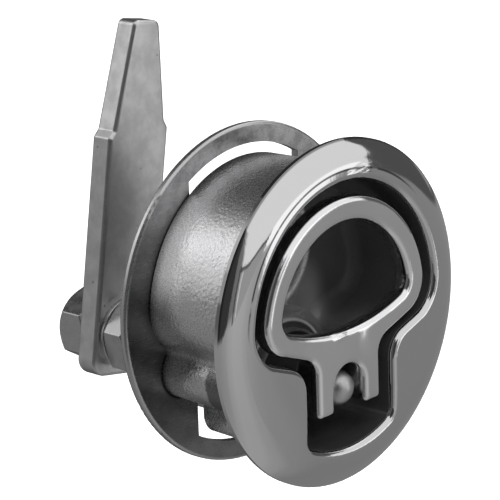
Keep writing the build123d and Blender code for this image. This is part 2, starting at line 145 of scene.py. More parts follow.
# Patches of a finish, as times the finish's own colour: most are painted shade, painted light or
# painted highlights; the handle's sides and the arm's pits are their own colour
TONE = {
    "flange_rim_shade": 0.4, "lip_crease_shade": 0.2, "bowl_right_shade": 0.8, "bowl_mouth_shade": 0.28,
    "lobe_shade": 0.32, "cup_painted_light": 1.5, "cup_contact_shade": 0.1, "handle_side": 0.7, "arm_pit": 0.55,
    "ring_top_light": 2.2, "ring_rim_highlight": 2.3, "ring_contact_shade": 0.08,
}
# Places on the casting and the lift ring: centre, reach, and how much less it reaches up and down
# The first place is a pool of light painted in the bowl
POCKET_LIGHT_POOL = ((7.0 * MM, 20.0 * MM, -3.0 * MM), 13.0 * MM)
EAR_HUMP = ((9.0 * MM, -3.4 * MM, -6.5 * MM), 6.5 * MM)
LIP_RIPPLES = ((5.4 * MM, -3.2 * MM, 30.2 * MM), 6.0 * MM, 2.4)
WEB_RIPPLES = ((-2.8 * MM, -2.8 * MM, -3.6 * MM), 3.0 * MM, 1.3)
PATCH_CORE = 0.3          # share of the reach over which a place is at its full strength
GLOW_STRENGTH = 0.6
EAR_HUMP_HEIGHT = 0.14 * MM
RIPPLE_SIZE = 1.1 * MM
RIPPLE_HEIGHT = 0.16 * MM

# Noise drawn out or pressed together along x, y and z: the larger the number, the shorter
RIPPLE_STRETCH = (0.32, 1.0, 1.5)
STREAK_STRETCH = (1.0, 1.0, 0.25)
BRUSHED_STRETCH = (0.12, 1.0, 1.0)
TURNED_STRETCH = (1.0, 0.2, 1.0)
FINE_GRAIN = 0.35         # share of the fine noise in the casting's grain
ARM_GRAIN = 0.25          # shares of grain and pits in the arm's surface
PIT_DEPTH = 0.5
# The ragged edge below is that of the painted shade on the lobes
RAGGED_SIZE = 1.2 * MM    # of the ragged edge of the dark skin
RAGGED_REACH = 1.6 * MM
LEFTWARD = 0.8            # how much the lip's fine line leans to the left
PALE_METAL = 0.5          # share of bare metal in the cup's pale zone
MATT_METAL = 0.15         # and where the bowl is matt
BEVEL_SAMPLES = 8
# Colours between which the plastic and the rubber change, and of the painted highlight round the
# thrust washer's rim
PLASTIC = ((0.03, 0.03, 0.032), (0.05, 0.05, 0.053))
RUBBER = ((0.012, 0.012, 0.012), (0.022, 0.022, 0.022))
PLASTIC_RIM_HIGHLIGHT = (0.45, 0.45, 0.455)

# Sockets of the Mix node for each kind of value: first, second, result
MIX_SOCKETS = {"FLOAT": (2, 3, 0), "VECTOR": (4, 5, 1), "RGBA": (6, 7, 2)}

SCREW_INPUTS = (
    "Head radius", "Head height", "Thread radius", "Thread length", "Socket radius",
    "Socket depth", "Pitch")
HEAD_RINGS = 10
HEAD_DOME = 0.45          # share of the squared width that the head loses at its top
THREAD_STEPS = 24         # in one turn
SHARP_ANGLE = math.radians(35)

PHOTO_SIDE = 500          # pixels
SENSOR_WIDTH = 36.0       # millimetres
CAMERA_REACH = (0.01, 50.0)
CARD_CUTS = 7
CARD_STEP = 0.03          # metres between a card and the next one before it
# Lamps by name: azimuth and elevation in degrees, distance and width in metres, power in watts
LAMPS = {"key_lamp": (-20, 55, 3.0, 1.6, 40), "fill_lamp": (150, 60, 3.0, 1.6, 30)}
# Cards by name: reflected level, width of the soft edge in degrees, and the corners as azimuth and
# elevation in degrees, seen from the object
WALLS = {
    "grey_front": (0.43, 1.0, (
        (-62, -7), (31, -6), (20, 1), (8, 4), (-6, 10), (-8, 18), (-62, 18))),
    "grey_shade": (0.22, 4.0, ((-20, -9), (-1, -7), (-2, 11), (-6, 22), (-9, 30), (-22, 30))),
    "dark_left": (0.12, 4.0, ((-130, -29), (-44, -29), (-44, 48), (-130, 48))),
    "black_camera": (0.05, 3.0, (
        (-56, -16), (-25, -13), (-15, -8), (-11, 5), (-12, 20), (-9, 30), (-13, 38), (-56, 38))),
    "charcoal_right": (0.105, 1.6, (
        (52, -4), (54, 8), (60, 14), (64, 22), (64, 32), (70, 36), (79, 31), (90, 21), (104, 6),
        (108, -7))),
    "grey_right": (0.30, 2.0, ((92, -5), (120, -5), (120, 20), (101, 18))),
    "dark_back_right": (0.07, 2.0, ((118, -7), (188, -7), (188, 80), (118, 80))),
    "grey_left": (0.36, 2.0, ((-147, -7), (-126, -7), (-126, 50), (-147, 52))),
    "grey_back_left": (0.25, 2.0, ((184, -7), (216, -7), (216, 56), (184, 72))),
    "bright_cup": (1.55, 8.0, ((-172, 12), (-130, 6), (-126, 42), (-168, 48))),
    "bright_arm": (1.0, 3.0, ((-154, 7), (-126, 7), (-126, 24), (-154, 24))),
    "bright_top": (1.4, 2.0, ((70, 40), (84, 38), (112, 38), (112, 62), (70, 62))),
    "dark_thread": (0.09, 0.7, ((-7.5, -9), (-4.5, -9), (-3, 10), (-6, 10))),
    "pale_thread": (0.75, 0.8, ((-2, -8), (1, -8), (2, 8), (-1, 9))),
    "hairline": (0.10, 0.6, (
        (-7, 8), (8, 2.5), (20, 0), (31, -5), (31, -3), (20, 2), (8, 4.5), (-7, 10))),
    "white_streak": (1.45, 1.2, (
        (27, -5), (34, -7), (36, -18), (44, -18), (46, -5), (54, 0), (53, 4), (27, 1))),
}
# Lower half of the studio: level round the object by azimuth, and what the level is multiplied by
# at two heights, given as shares of the radius
GROUND = (
    (-180, 0.17), (-135, 0.33), (-60, 0.33), (-30, 0.33), (-20, 0.385), (-10, 0.47), (0, 0.51),
    (16, 0.50), (30, 0.43), (40, 0.345), (50, 0.29), (116, 0.29), (132, 0.09), (180, 0.13))
GROUND_HEIGHTS = (-0.6, -0.15)
GROUND_LEVELS = (0.94, 1.08)


class StudioSettings(bpy.types.PropertyGroup):
    """Camera, floor and lights."""

    azimuth: FloatProperty(
        name="Azimuth", description="Camera's angle round the object", default=math.radians(-48.55),
        subtype="ANGLE")
    elevation: FloatProperty(
        name="Elevation", description="Camera's angle above the horizon",
        default=math.radians(17.2), subtype="ANGLE")
    roll: FloatProperty(
        name="Roll", description="Camera's turn about its line of sight",
        default=math.radians(-1.4), subtype="ANGLE")
    distance: FloatProperty(
        name="Distance", description="Camera to the flange's centre", default=0.545, unit="LENGTH")
    focal_pixels: FloatProperty(
        name="Focal length", description="In the photograph's pixels", default=2545.0)
    centre_x: FloatProperty(
        name="Centre across", description="Pixel of the flange's centre", default=336.85)
    centre_y: FloatProperty(
        name="Centre down", description="Pixel of the flange's centre", default=312.6)
    floor_drop: FloatProperty(
        name="Floor drop", description="Floor below the lowest point", default=0.10, unit="LENGTH")
    floor_half: FloatProperty(
        name="Floor half width", description="Half the floor's width", default=6.0, unit="LENGTH")
    floor_shade: FloatVectorProperty(
        name="Floor", description="Floor's colour", default=(0.8, 0.8, 0.8), subtype="COLOR")
    floor_glow: FloatProperty(
        name="Floor glow", description="Added to the floor's white in the picture", default=0.5)
    room_light: FloatProperty(
        name="Room light", description="Level of the light from all round", default=0.7)
    card_radius: FloatProperty(
        name="Card distance", description="Object to the reflected cards", default=2.0,
        unit="LENGTH")


class PolishedSettings(bpy.types.PropertyGroup):
    """Polished cast steel of the flange and the lift ring."""

    colour: FloatVectorProperty(
        name="Colour", description="Polished steel", default=(0.62, 0.62, 0.628), subtype="COLOR")
    roughness: FloatProperty(name="Roughness", description="Of the polished face", default=0.06)
    wave_size: FloatProperty(
        name="Wave size", description="Distance between soft waves", default=0.011, unit="LENGTH")
    wave_height: FloatProperty(
        name="Wave height", description="Depth of the soft waves", default=0.00004, unit="LENGTH")
    streak_size: FloatProperty(
        name="Streak size", description="Length of polishing streaks", default=0.0022,
        unit="LENGTH")
    streak_height: FloatProperty(
        name="Streak height", description="Depth of polishing streaks", default=0.00001,
        unit="LENGTH")
    edge_wear: FloatProperty(
        name="Edge wear", description="Extra rounding of the lift ring's edges", default=0.001,
        unit="LENGTH")


class CastSettings(bpy.types.PropertyGroup):
    """Blasted casting of the cup, outside and inside."""

    colour: FloatVectorProperty(
        name="Outside", description="Blasted steel outside", default=(0.60, 0.60, 0.61),
        subtype="COLOR")
    # Painted shade: the colour of the inside of the bowl and of the knob's collar in it
    shaded_inside_colour: FloatVectorProperty(
        name="Inside", description="Dark casting inside the bowl", default=(0.13, 0.131, 0.133),
        subtype="COLOR")
    # Painted light: the colour of the pool of light and of the highlights in the bowl and round the
    # knob's collar
    painted_light_colour: FloatVectorProperty(
        name="Inside edges", description="Rubbed edges inside the bowl", default=(0.75, 0.75, 0.76),
        subtype="COLOR")
    roughness: FloatProperty(name="Roughness", description="Of the blasted outside", default=0.27)
    inside_roughness: FloatProperty(
        name="Inside roughness", description="Of the bowl", default=0.38)
    inside_metal: FloatProperty(
        name="Inside metal", description="Share of bare metal inside", default=0.8)
    grain_size: FloatProperty(
        name="Grain size", description="Size of the hammered grain", default=0.0007, unit="LENGTH")
    grain_height: FloatProperty(
        name="Grain height", description="Depth of the grain", default=0.00008, unit="LENGTH")


class SatinSettings(bpy.types.PropertyGroup):
    """Satin steel of the arm, backing ring, bolt, nut and small parts."""

    arm_colour: FloatVectorProperty(
        name="Arm", description="Blasted arm", default=(0.66, 0.66, 0.665), subtype="COLOR")
    ring_colour: FloatVectorProperty(
        name="Backing ring", description="Brushed ring", default=(0.23, 0.23, 0.233),
        subtype="COLOR")
    hex_colour: FloatVectorProperty(
        name="Bolt and nut", description="Machined hexagons", default=(0.52, 0.52, 0.525),
        subtype="COLOR")
    arm_roughness: FloatProperty(
        name="Arm roughness", description="Of the blasted arm", default=0.32)
    ring_roughness: FloatProperty(
        name="Ring roughness", description="Of the brushed ring", default=0.30)
    hex_roughness: FloatProperty(
        name="Hexagon roughness", description="Of the bolt and nut", default=0.28)
    hex_wear: FloatProperty(
        name="Hexagon wear", description="Rounding of the hexagons' edges", default=0.0005,
        unit="LENGTH")
    mottle_size: FloatProperty(
        name="Mottle size", description="Size of cloudy patches", default=0.004, unit="LENGTH")
    pit_size: FloatProperty(
        name="Pit spacing", description="Distance between small pits", default=0.005, unit="LENGTH")


class ScrewSettings(bpy.types.PropertyGroup):
    """Two socket screws that hold the backing ring."""

    head_height: FloatProperty(
        name="Head height", description="Of the rounded head", default=0.0024, unit="LENGTH")
    shank_radius: FloatProperty(
        name="Thread radius", description="Outside the thread", default=0.002, unit="LENGTH")
    socket_radius: FloatProperty(
        name="Socket", description="Corner radius of the hexagon socket", default=0.00165,
        unit="LENGTH")
    socket_depth: FloatProperty(
        name="Socket depth", description="Depth of the socket", default=0.0014, unit="LENGTH")
    pitch: FloatProperty(name="Pitch", description="Thread pitch", default=0.0007, unit="LENGTH")
    sides: IntProperty(name="Sides", description="Faces round the screw", default=48)


GROUPS = {
    "hatch_studio": StudioSettings,
    "hatch_polished": PolishedSettings,
    "hatch_cast": CastSettings,
    "hatch_satin": SatinSettings,
    "hatch_screws": ScrewSettings,
}


class Tree:
    """A node tree, emptied, that gets each node with its links in one call."""

    def __init__(self, tree):
        self.tree = tree
        tree.nodes.clear()

    def add(self, kind, links=None, **settings):
        """New node, its sockets fed by name or number."""
        node = self.tree.nodes.new(kind)
        for key, value in settings.items():
            setattr(node, key, value)
        for socket, value in (links or {}).items():
            self.feed(node.inputs[socket], value)
        return node

    def feed(self, socket, value):
        """Link an output, or a node's first one, to a socket or set its value, unless it's None."""
        if isinstance(value, bpy.types.Node):
            value = value.outputs[0]
        if isinstance(value, bpy.types.NodeSocket):
            self.tree.links.new(value, socket)
        elif value is not None:
            socket.default_value = value

    def join(self, *parts):
        """Meshes put together."""
        joined = self.add("GeometryNodeJoinGeometry")
        for part in parts:
            self.feed(joined.inputs[0], part)
        return joined

    def moved(self, geometry, height):
        """Mesh moved along z."""
        links = {"Geometry": geometry, "Translation": self.upright(height)}
        return self.add("GeometryNodeTransform", links)

    def upright(self, height):
        """Vector along z."""
        return self.add("ShaderNodeCombineXYZ", {2: height})

    def split(self, vector):
        """x, y and z of a vector."""
        return self.add("ShaderNodeSeparateXYZ", {0: vector}).outputs

    def math(self, kind, a, b=None, c=None):
        """Math node."""
        return self.add("ShaderNodeMath", {0: a, 1: b, 2: c}, operation=kind).outputs[0]

    def plus(self, a, b):
        """Sum."""
        return self.math("ADD", a, b)

    def minus(self, a, b):
        """Difference."""
        return self.math("SUBTRACT", a, b)

    def times(self, value, *others):
        """Product."""
        for other in others:
            value = self.math("MULTIPLY", value, other)
        return value

    def largest(self, value, *others):
        """Largest value."""
        for other in others:
            value = self.math("MAXIMUM", value, other)
        return value

    def unsigned(self, value):
        """Value without its sign."""
        return self.math("ABSOLUTE", value)

    def length(self, a, b):
        """Length of the sloping side."""
        return self.math("SQRT", self.math("MULTIPLY_ADD", a, a, self.times(b, b)))

    def ramp(self, value, low, high, to_low=0.0, to_high=1.0, kind="SMOOTHSTEP"):
        """Value moved from one range to another, held at the ends."""
        links = {
            "Value": value, "From Min": low, "From Max": high, "To Min": to_low, "To Max": to_high}
        return self.add("ShaderNodeMapRange", links, interpolation_type=kind).outputs["Result"]

    def fall(self, value, low, high):
        """1 up to low, and 0 from high on."""
        return self.ramp(value, low, high, 1.0, 0.0)


class MaterialTree(Tree):
    """Nodes of a new material."""

    def __init__(self, name):
        self.material = bpy.data.materials.new(name)
        self.material.use_nodes = True
        super().__init__(self.material.node_tree)

    def close(self, surface):
        """Give the material its surface and hand it over."""
        self.add("ShaderNodeOutputMaterial", {"Surface": surface})
        return self.material


class Finish(MaterialTree):
    """Material on Object coordinates, built from short calls."""

    def __init__(self, name):
        super().__init__(name)
        self.place = self.add("ShaderNodeTexCoord").outputs["Object"]
        self.x, self.y, self.z = self.split(self.place)

    def from_axis(self, height=0.0):
        """Distance from the line along y at a height."""
        return self.length(self.x, self.minus(self.z, height))

    def stretched(self, scale):
        """The place, stretched along the axes."""
        return self.add("ShaderNodeMapping", {"Vector": self.place, "Scale": scale})

    def noise(self, size, detail=4.0, rough=0.5, stretch=None):
        """Cloudy noise whose features are about one size apart, from 0 to 1."""
        place = self.stretched(stretch) if stretch else self.place
        links = {"Vector": place, "Scale": 1 / size, "Detail": detail, "Roughness": rough}
        return self.add("ShaderNodeTexNoise", links).outputs["Fac"]

    def cells(self, size, feature="F1"):
        """Distance to the nearest of many scattered points."""
        links = {"Vector": self.place, "Scale": 1 / size}
        return self.add("ShaderNodeTexVoronoi", links, feature=feature).outputs["Distance"]

    def spread(self, noise, low=0.0, high=1.0):
        """Noise spread over a whole range."""
        return self.ramp(noise, *NOISE_SPAN, low, high)

    def near(self, centre, reach, flat=1.0):
        """1 at a place, falling to 0 at a distance from it, or nearer by above and below."""
        scale = (1.0, 1.0, flat)
        middle = tuple(part * times for part, times in zip(centre, scale))
        links = {0: self.stretched(scale), 1: middle}
        away = self.add("ShaderNodeVectorMath", links, operation="DISTANCE").outputs["Value"]
        return self.fall(away, PATCH_CORE * reach, reach)

    def mix(self, kind, share, a, b):
        """Value of one kind between a and b."""
        first, second, result = MIX_SOCKETS[kind]
        links = {0: share, first: a, second: b}
        return self.add("ShaderNodeMix", links, data_type=kind).outputs[result]

    def blend(self, share, a, b):
        """Number between a and b."""
        return self.mix("FLOAT", share, a, b)

    def tint(self, share, a, b):
        """Colour between a and b."""
        return self.mix("RGBA", share, rgba(a), rgba(b))

    def mottled(self, share, colour, low, high):
        """Colour between low times and high times itself."""
        return self.tint(share, shade(colour, low), shade(colour, high))

    def uneven(self, noise, roughness, low, high):
        """Roughness that noise takes from low times to high times itself."""
        return self.spread(noise, low * roughness, high * roughness)

    def worn(self, radius):
        """Normal with rounded edges."""
        return self.add("ShaderNodeBevel", {"Radius": radius}, samples=BEVEL_SAMPLES)

    def bump(self, height, depth, normal=None):
        """Normal tilted by a height, which is from 0 to 1 times the depth."""
        links = {"Height": height, "Distance": depth, "Normal": normal}
        return self.add("ShaderNodeBump", links)

    def done(self, colour, roughness, normal, metallic=1.0):
        """Close the tree with its shader and hand over the material."""
        return self.close(self.add("ShaderNodeBsdfPrincipled", {
            "Base Color": colour, "Roughness": roughness, "Normal": normal, "Metallic": metallic}))


def rgba(colour):
    """Four numbers from three; sockets pass through."""
    return colour if isinstance(colour, bpy.types.NodeSocket) else (*colour, 1.0)


def shade(colour, times):
    """Colour made darker or lighter."""
    return tuple(min(1.0, part * times) for part in colour)


def dress(material, *nodes):
    """Give carried-over pieces their finish."""
    for name in nodes:
        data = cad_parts[name].data
        data.materials.clear()
        data.materials.append(material)


def inner_round(tree, a, b, radius):
    """Depth inside both of two outlines, their common corner rounded."""
    parts = [tree.largest(tree.minus(radius, value), 0.0) for value in (a, b)]
    return tree.minus(radius, tree.length(*parts))


def outer_round(tree, a, b, radius):
    """Depth inside either of two outlines, the corner between them filled out."""
    parts = [tree.largest(tree.plus(value, radius), 0.0) for value in (a, b)]
    return tree.minus(tree.length(*parts), radius)


def keyhole_depth(tree):
    """How far inside the line half-way through the cup's wall a place is, from the front."""
    side = tree.unsigned(tree.x)
    radius = tree.from_axis(HEAD_RISE)
    sine, cosine = math.sin(SHOULDER_SLOPE), math.cos(SHOULDER_SLOPE)
    shoulder = tree.math("MULTIPLY_ADD", side, -sine, SHOULDER_DROP * cosine)
    above = tree.plus(tree.times(tree.z, cosine), shoulder)
    head = inner_round(tree, tree.minus(HEAD_RADIUS, radius), above, HEAD_CORNER)
    slot = inner_round(
        tree, tree.minus(SLOT_HALF, side), tree.minus(SLOT_BOTTOM, radius), SLOT_CORNER)
    slot = tree.math("MINIMUM", slot, tree.times(tree.z, -1.0))
    return outer_round(tree, head, slot, SLOT_FILLET)


def cup_depth(tree):
    """How far inside the cup's outer form, screw lobes too, a place is, from the front."""
    across = tree.minus(tree.unsigned(tree.x), LOBE_X)
    lobe = tree.minus(LOBE_RADIUS, tree.length(across, tree.minus(tree.z, LOBE_Z)))
    return tree.largest(tree.plus(keyhole_depth(tree), HALF_WALL), lobe)


def bowl_inside(tree, depth):
    """1 inside the bowl and 0 on the flange and the cup's outside."""
    return tree.times(
        tree.ramp(depth, *BOWL_WALL), tree.ramp(tree.y, *BOWL_FRONT_Y),
        tree.fall(tree.y, *BOWL_BACK_Y))


def lip_crease_shade(tree, depth):
    """1 along the fine broken crease where the polished face meets the lip, at the upper left,
    where shade is painted.
    """
    away = tree.unsigned(tree.plus(depth, HALF_WALL + LIP_LINE))
    broken = tree.ramp(tree.noise(size=7 * MM, detail=3.0, rough=0.6), *LIP_LINE_BREAKS)
    leftward = tree.minus(tree.z, tree.times(tree.x, LEFTWARD))
    return tree.times(
        tree.fall(away, *LIP_LINE_WIDTH), broken, tree.ramp(tree.z, *LIP_LINE_Z),
        tree.ramp(leftward, *LIP_LINE_LEFT), tree.fall(tree.y, *LIP_LINE_Y))


def lobe_shade(tree):
    """1 on the painted shade on each screw lobe's front half, standing in for a shaded recess
    there; its edge is ragged.
    """
    noise = tree.noise(RAGGED_SIZE, detail=3.0)
    ragged = tree.math("MULTIPLY_ADD", noise, RAGGED_REACH, tree.y)
    return tree.times(
        tree.fall(ragged, *LOBE_SHADE_Y), tree.fall(tree.z, *LOBE_SHADE_Z),
        tree.ramp(tree.unsigned(tree.x), *LOBE_SHADE_X))


def cup_painted_light(tree):
    """1 where light is painted on the cup's outside, before the backing ring and above the middle.
    """
    return tree.times(
        tree.ramp(tree.y, *CUP_PALE_Y), tree.ramp(tree.z, *CUP_PALE_LOW_Z),
        tree.fall(tree.z, *CUP_PALE_HIGH_Z))


def pocket_highlight(tree):
    """1 along the finger pocket's edge, where a highlight is painted, broken up by the grain."""
    away = tree.unsigned(tree.minus(tree.from_axis(POCKET_Z), POCKET_RADIUS))
    grain = tree.noise(size=0.5 * MM, detail=2.0)
    return tree.times(
        tree.fall(away, *POCKET_EDGE), tree.ramp(tree.y, *POCKET_EDGE_Y),
        tree.ramp(grain, *POCKET_EDGE_BREAKS))


def rim_highlight(tree, piece):
    """1 along the outer edge of a piece that is round about the shaft, where a highlight is
    painted.
    """
    low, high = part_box(piece)
    away = tree.minus(tree.from_axis((low.z + high.z) / 2), (high.x - low.x) / 2)
    return tree.ramp(away, *RIM_HIGHLIGHT_SPAN)


def face_colour(tree, polished, depth):
    """Polished steel, with painted shade along the flange's upper rim and in the lip's fine crease.
    """
    rim = tree.ramp(tree.from_axis(), *FLANGE_RIM_EDGE)
    rim = tree.times(rim, tree.ramp(tree.z, *FLANGE_RIM_Z))
    colour = tree.tint(rim, polished.colour, shade(polished.colour, TONE["flange_rim_shade"]))
    return tree.tint(lip_crease_shade(tree, depth), colour, shade(polished.colour, TONE["lip_crease_shade"]))


def cup_colour(tree, cast, pale):
    """Blasted steel, with painted light in one zone and painted shade where it meets the ring and
    on the lobes.
    """
    contact_shade = tree.largest(tree.ramp(tree.y, *CUP_CONTACT_SHADE_Y), tree.ramp(tree.y, *CUP_BEHIND_RING_Y))
    colour = tree.tint(pale, cast.colour, shade(cast.colour, TONE["cup_painted_light"]))
    colour = tree.tint(contact_shade, shade(cast.colour, TONE["cup_contact_shade"]), colour)
    return tree.tint(lobe_shade(tree), colour, shade(cast.colour, TONE["lobe_shade"]))


def bowl_colour(tree, cast):
    """Colour of the bowl, darkened as painted shade, more at its right and at its mouth, with a
    painted pool of light and a painted highlight along the pocket's edge; and where it is matt.
    """
    right = tree.ramp(tree.x, *BOWL_RIGHT_X)
    mouth = tree.fall(tree.y, *BOWL_MOUTH_Y)
    edge = pocket_highlight(tree)
    glow = tree.times(tree.near(*POCKET_LIGHT_POOL), GLOW_STRENGTH)
    dark = cast.shaded_inside_colour
    colour = tree.tint(right, dark, shade(dark, TONE["bowl_right_shade"]))
    colour = tree.tint(mouth, colour, shade(dark, TONE["bowl_mouth_shade"]))
    colour = tree.tint(glow, colour, cast.painted_light_colour)
    colour = tree.tint(edge, colour, cast.painted_light_colour)
    return colour, tree.largest(edge, right, mouth)


def polished_surface(tree, polished, ripples, normal=None):
    """Normal and roughness of a hand-polished casting: soft waves, ripples and fine streaks."""
    wave = tree.noise(polished.wave_size, detail=1.0, rough=0.4)
    normal = tree.bump(wave, polished.wave_height, normal)
    crease = tree.noise(RIPPLE_SIZE, detail=2.0, stretch=RIPPLE_STRETCH)
    normal = tree.bump(tree.times(crease, tree.near(*ripples)), RIPPLE_HEIGHT, normal)
    streak = tree.noise(polished.streak_size, detail=3.0, rough=0.6, stretch=STREAK_STRETCH)
    normal = tree.bump(streak, polished.streak_height, normal)
    cloud = tree.noise(size=3 * polished.wave_size, detail=3.0)
    return normal, tree.uneven(cloud, polished.roughness, low=0.7, high=1.4)


def cast_surface(tree, cast):
    """Normal and roughness of a blasted casting: hammered grain, stronger in patches."""
    grain = tree.cells(cast.grain_size, "SMOOTH_F1")
    fine = tree.noise(size=0.4 * cast.grain_size, detail=3.0, rough=0.6)
    patch = tree.ramp(tree.noise(size=9 * cast.grain_size, detail=2.0), *GRAIN_PATCHES)
    height = tree.times(tree.math("MULTIPLY_ADD", fine, FINE_GRAIN, grain), patch)
    normal = tree.bump(height, cast.grain_height)
    return normal, tree.uneven(fine, cast.roughness, low=0.85, high=1.25)


def flange_finish(polished, cast):
    """Polished flange and lips, blasted cup outside, and the inside of the bowl darkened as painted
    shade.
    """
    tree = Finish("flange_casting")
    depth = keyhole_depth(tree)
    inside = bowl_inside(tree, depth)
    outside = tree.ramp(tree.y, *FLANGE_BACK_Y)
    pale = cup_painted_light(tree)
    colour = tree.tint(outside, face_colour(tree, polished, depth), cup_colour(tree, cast, pale))
    dark, matt = bowl_colour(tree, cast)
    colour = tree.tint(inside, colour, dark)
    face_normal, face_rough = polished_surface(tree, polished, LIP_RIPPLES)
    cup_normal, cup_rough = cast_surface(tree, cast)
    normal = tree.mix("VECTOR", outside, face_normal, cup_normal)
    rough = tree.blend(outside, face_rough, cup_rough)
    rough = tree.blend(inside, rough, cast.inside_roughness)
    outer_metal = tree.blend(tree.times(outside, pale), 1.0, PALE_METAL)
    inner_metal = tree.blend(matt, cast.inside_metal, MATT_METAL)
    return tree.done(colour, rough, normal, tree.blend(inside, outer_metal, inner_metal))


def handle_finish(polished, cast):
    """Polished lift ring and fork with worn round edges; their deep sides are satin casting."""
    tree = Finish("lift_ring_polish")
    hump = tree.bump(tree.near(*EAR_HUMP), EAR_HUMP_HEIGHT, tree.worn(polished.edge_wear))
    normal, rough = polished_surface(tree, polished, WEB_RIPPLES, hump)
    tone = tree.noise(size=2 * polished.wave_size, detail=2.0)
    colour = tree.mottled(tree.spread(tone), polished.colour, low=1.18, high=1.32)
    deep = tree.ramp(tree.y, *HANDLE_SIDE_Y)
    colour = tree.tint(deep, colour, shade(polished.colour, TONE["handle_side"]))
    return tree.done(colour, tree.blend(deep, rough, cast.inside_roughness), normal)


def knob_finish(satin, cast):
    """Turned and blasted knob; the collar in the bowl gets the bowl's painted shade and a painted
    highlight round its rim.
    """
    tree = Finish("shaft_satin")
    grain = tree.noise(size=0.5 * MM, detail=3.0, rough=0.6)
    tone = tree.noise(size=2.5 * MM, detail=2.0)
    colour = tree.mottled(tone, satin.hex_colour, low=0.9, high=1.05)
    deep = tree.ramp(tree.y, *COLLAR_Y)
    colour = tree.tint(deep, colour, cast.shaded_inside_colour)
    colour = tree.tint(rim_highlight(tree, "turning_shaft"), colour, cast.painted_light_colour)
    rough = tree.blend(deep, tree.spread(grain, low=0.36, high=0.44), cast.inside_roughness)
    return tree.done(colour, rough, tree.bump(grain, depth=0.006 * MM))


def arm_finish(satin):
    """Blasted arm with cloudy mottling and a few small pits."""
    tree = Finish("arm_blasted")
    mottle = tree.noise(satin.mottle_size, detail=5.0, rough=0.6)
    grain = tree.noise(size=0.25 * MM, detail=2.0, rough=0.6)
    pits = tree.ramp(tree.cells(satin.pit_size), *ARM_PITS)
    height = tree.math("MULTIPLY_ADD", grain, ARM_GRAIN, tree.times(pits, PIT_DEPTH))
    colour = tree.mottled(tree.spread(mottle), satin.arm_colour, low=0.82, high=1.0)
    colour = tree.tint(pits, shade(satin.arm_colour, TONE["arm_pit"]), colour)
    rough = tree.uneven(mottle, satin.arm_roughness, low=1.15, high=0.9)
    return tree.done(colour, rough, tree.bump(height, depth=0.05 * MM))


def ring_finish(satin):
    """Brushed backing ring, with painted light in patches near its top, a painted highlight round
    its rim and painted shade along the cup.
    """
    tree = Finish("ring_brushed")
    brushed = tree.noise(size=0.35 * MM, rough=0.65, stretch=BRUSHED_STRETCH)
    mottle = tree.noise(satin.mottle_size)
    blotch = tree.noise(size=0.8 * satin.mottle_size, detail=5.0, rough=0.65)
    top_light = tree.times(tree.ramp(tree.z, *RING_TOP_LIGHT_Z), tree.ramp(blotch, *RING_BLOTCHES))
    rim = tree.ramp(tree.from_axis(), *RING_RIM_EDGE)
    contact_shade = tree.times(tree.ramp(cup_depth(tree), *RING_CONTACT_SHADE), tree.fall(tree.y, *RING_FRONT_Y))
    colour = tree.mottled(tree.spread(mottle), satin.ring_colour, low=0.8, high=1.0)
    for share, tone in ((top_light, "ring_top_light"), (rim, "ring_rim_highlight"), (contact_shade, "ring_contact_shade")):
        colour = tree.tint(share, colour, shade(satin.ring_colour, TONE[tone]))
    rough = tree.uneven(brushed, satin.ring_roughness, low=0.85, high=1.2)
    return tree.done(colour, rough, tree.bump(brushed, depth=0.006 * MM))


def hex_finish(satin):
    """Machined bolt, nut, washers, clip and screws, their edges a little rounded."""
    tree = Finish("machined_satin")
    turned = tree.noise(size=0.4 * MM, detail=3.0, rough=0.6, stretch=TURNED_STRETCH)
    mottle = tree.noise(size=0.6 * satin.mottle_size, detail=3.0)
    colour = tree.mottled(tree.spread(mottle), satin.hex_colour, low=0.85, high=1.0)
    rough = tree.uneven(mottle, satin.hex_roughness, low=0.85, high=1.2)
    normal = tree.bump(turned, depth=0.005 * MM, normal=tree.worn(satin.hex_wear))
    return tree.done(colour, rough, normal)


def plastic_finish():
    """Dark acetal of the bushes and washers, with a painted highlight round the thrust washer's
    rim.
    """
    tree = Finish("bush_plastic")
    grain = tree.noise(size=0.4 * MM, detail=3.0)
    tone = tree.noise(size=3.0 * MM, detail=2.0)
    colour = tree.tint(tone, *PLASTIC)
    colour = tree.tint(rim_highlight(tree, "thrust_washer"), colour, PLASTIC_RIM_HIGHLIGHT)
    rough = tree.spread(grain, low=0.40, high=0.55)
    return tree.done(colour, rough, tree.bump(grain, depth=0.01 * MM), metallic=0.0)


def rubber_finish():
    """Matt black seals."""
    tree = Finish("seal_rubber")
    grain = tree.noise(size=0.3 * MM, detail=3.0)
    tone = tree.noise(size=2.0 * MM, detail=2.0)
    colour = tree.tint(tone, *RUBBER)
    rough = tree.spread(grain, low=0.65, high=0.85)
    return tree.done(colour, rough, tree.bump(grain, depth=0.01 * MM), metallic=0.0)


